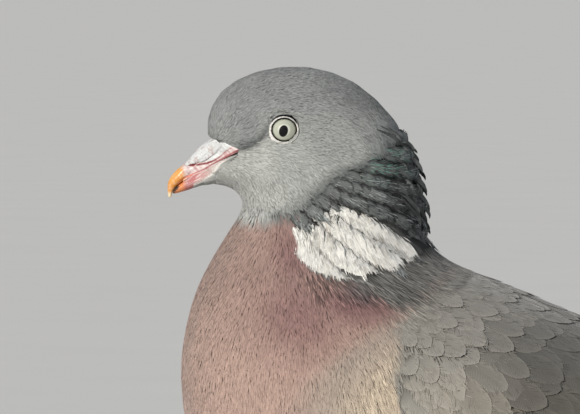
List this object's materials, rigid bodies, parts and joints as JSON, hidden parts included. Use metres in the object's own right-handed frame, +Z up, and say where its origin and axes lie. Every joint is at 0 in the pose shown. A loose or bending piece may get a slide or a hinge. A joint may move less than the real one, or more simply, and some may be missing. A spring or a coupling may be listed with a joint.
{
  "type": "wood pigeon",
  "caption": "Standing wood pigeon as a still, life-size model: grey head with a hooked bill, white neck patch, mauve breast, folded wings, closed tail and red feet.",
  "frame": {"origin": "on the floor, under the middle of the bird's bounding box", "axes": "+X towards the bill, +Y to the bird's left, +Z up"},
  "size_m": [0.341, 0.1236, 0.2357],
  "materials": {
    "head_plumage": "soft, matt blue-grey head feathers",
    "neck_plumage": "grey neck feathers with a green and purple sheen and a white patch on each side",
    "breast_plumage": "soft mauve-pink breast feathers that fade to cream on the belly",
    "wing_plumage": "grey-brown wing coverts with pale edges",
    "flight_feathers": "dark primaries with thin pale edges",
    "tail_feathers": "grey tail with a broad dark end band",
    "bill_horn": "horn, rosy at the root and orange-yellow at the nail",
    "lower_bill_horn": "rosy horn, orange at the tip",
    "cere_skin": "powdery white soft skin",
    "eye": "wet, clear eye with a pale straw iris and a dark pupil",
    "leg_skin": "red scaled skin",
    "claw_horn": "dark horn"
  },
  "bodies": {
    "root": {"bill_lower": "lower_bill_horn", "bill_upper": "bill_horn", "cere": "cere_skin", "claw_hind_left": "claw_horn", "claw_hind_right": "claw_horn", "claw_inner_left": "claw_horn", "claw_inner_right": "claw_horn", "claw_middle_left": "claw_horn", "claw_middle_right": "claw_horn", "claw_outer_left": "claw_horn", "claw_outer_right": "claw_horn", "eye_left": "eye", "eye_right": "eye", "foot_left": "leg_skin", "foot_right": "leg_skin", "head": "head_plumage", "neck": "neck_plumage", "primaries_left": "flight_feathers", "primaries_right": "flight_feathers", "tail": "tail_feathers", "tarsus_left": "leg_skin", "tarsus_right": "leg_skin", "thigh_left": "breast_plumage", "thigh_right": "breast_plumage", "toe_hind_left": "leg_skin", "toe_hind_right": "leg_skin", "toe_inner_left": "leg_skin", "toe_inner_right": "leg_skin", "toe_middle_left": "leg_skin", "toe_middle_right": "leg_skin", "toe_outer_left": "leg_skin", "toe_outer_right": "leg_skin", "trunk": "breast_plumage", "wing_left": "wing_plumage", "wing_right": "wing_plumage"}
  },
  "joints": []
}
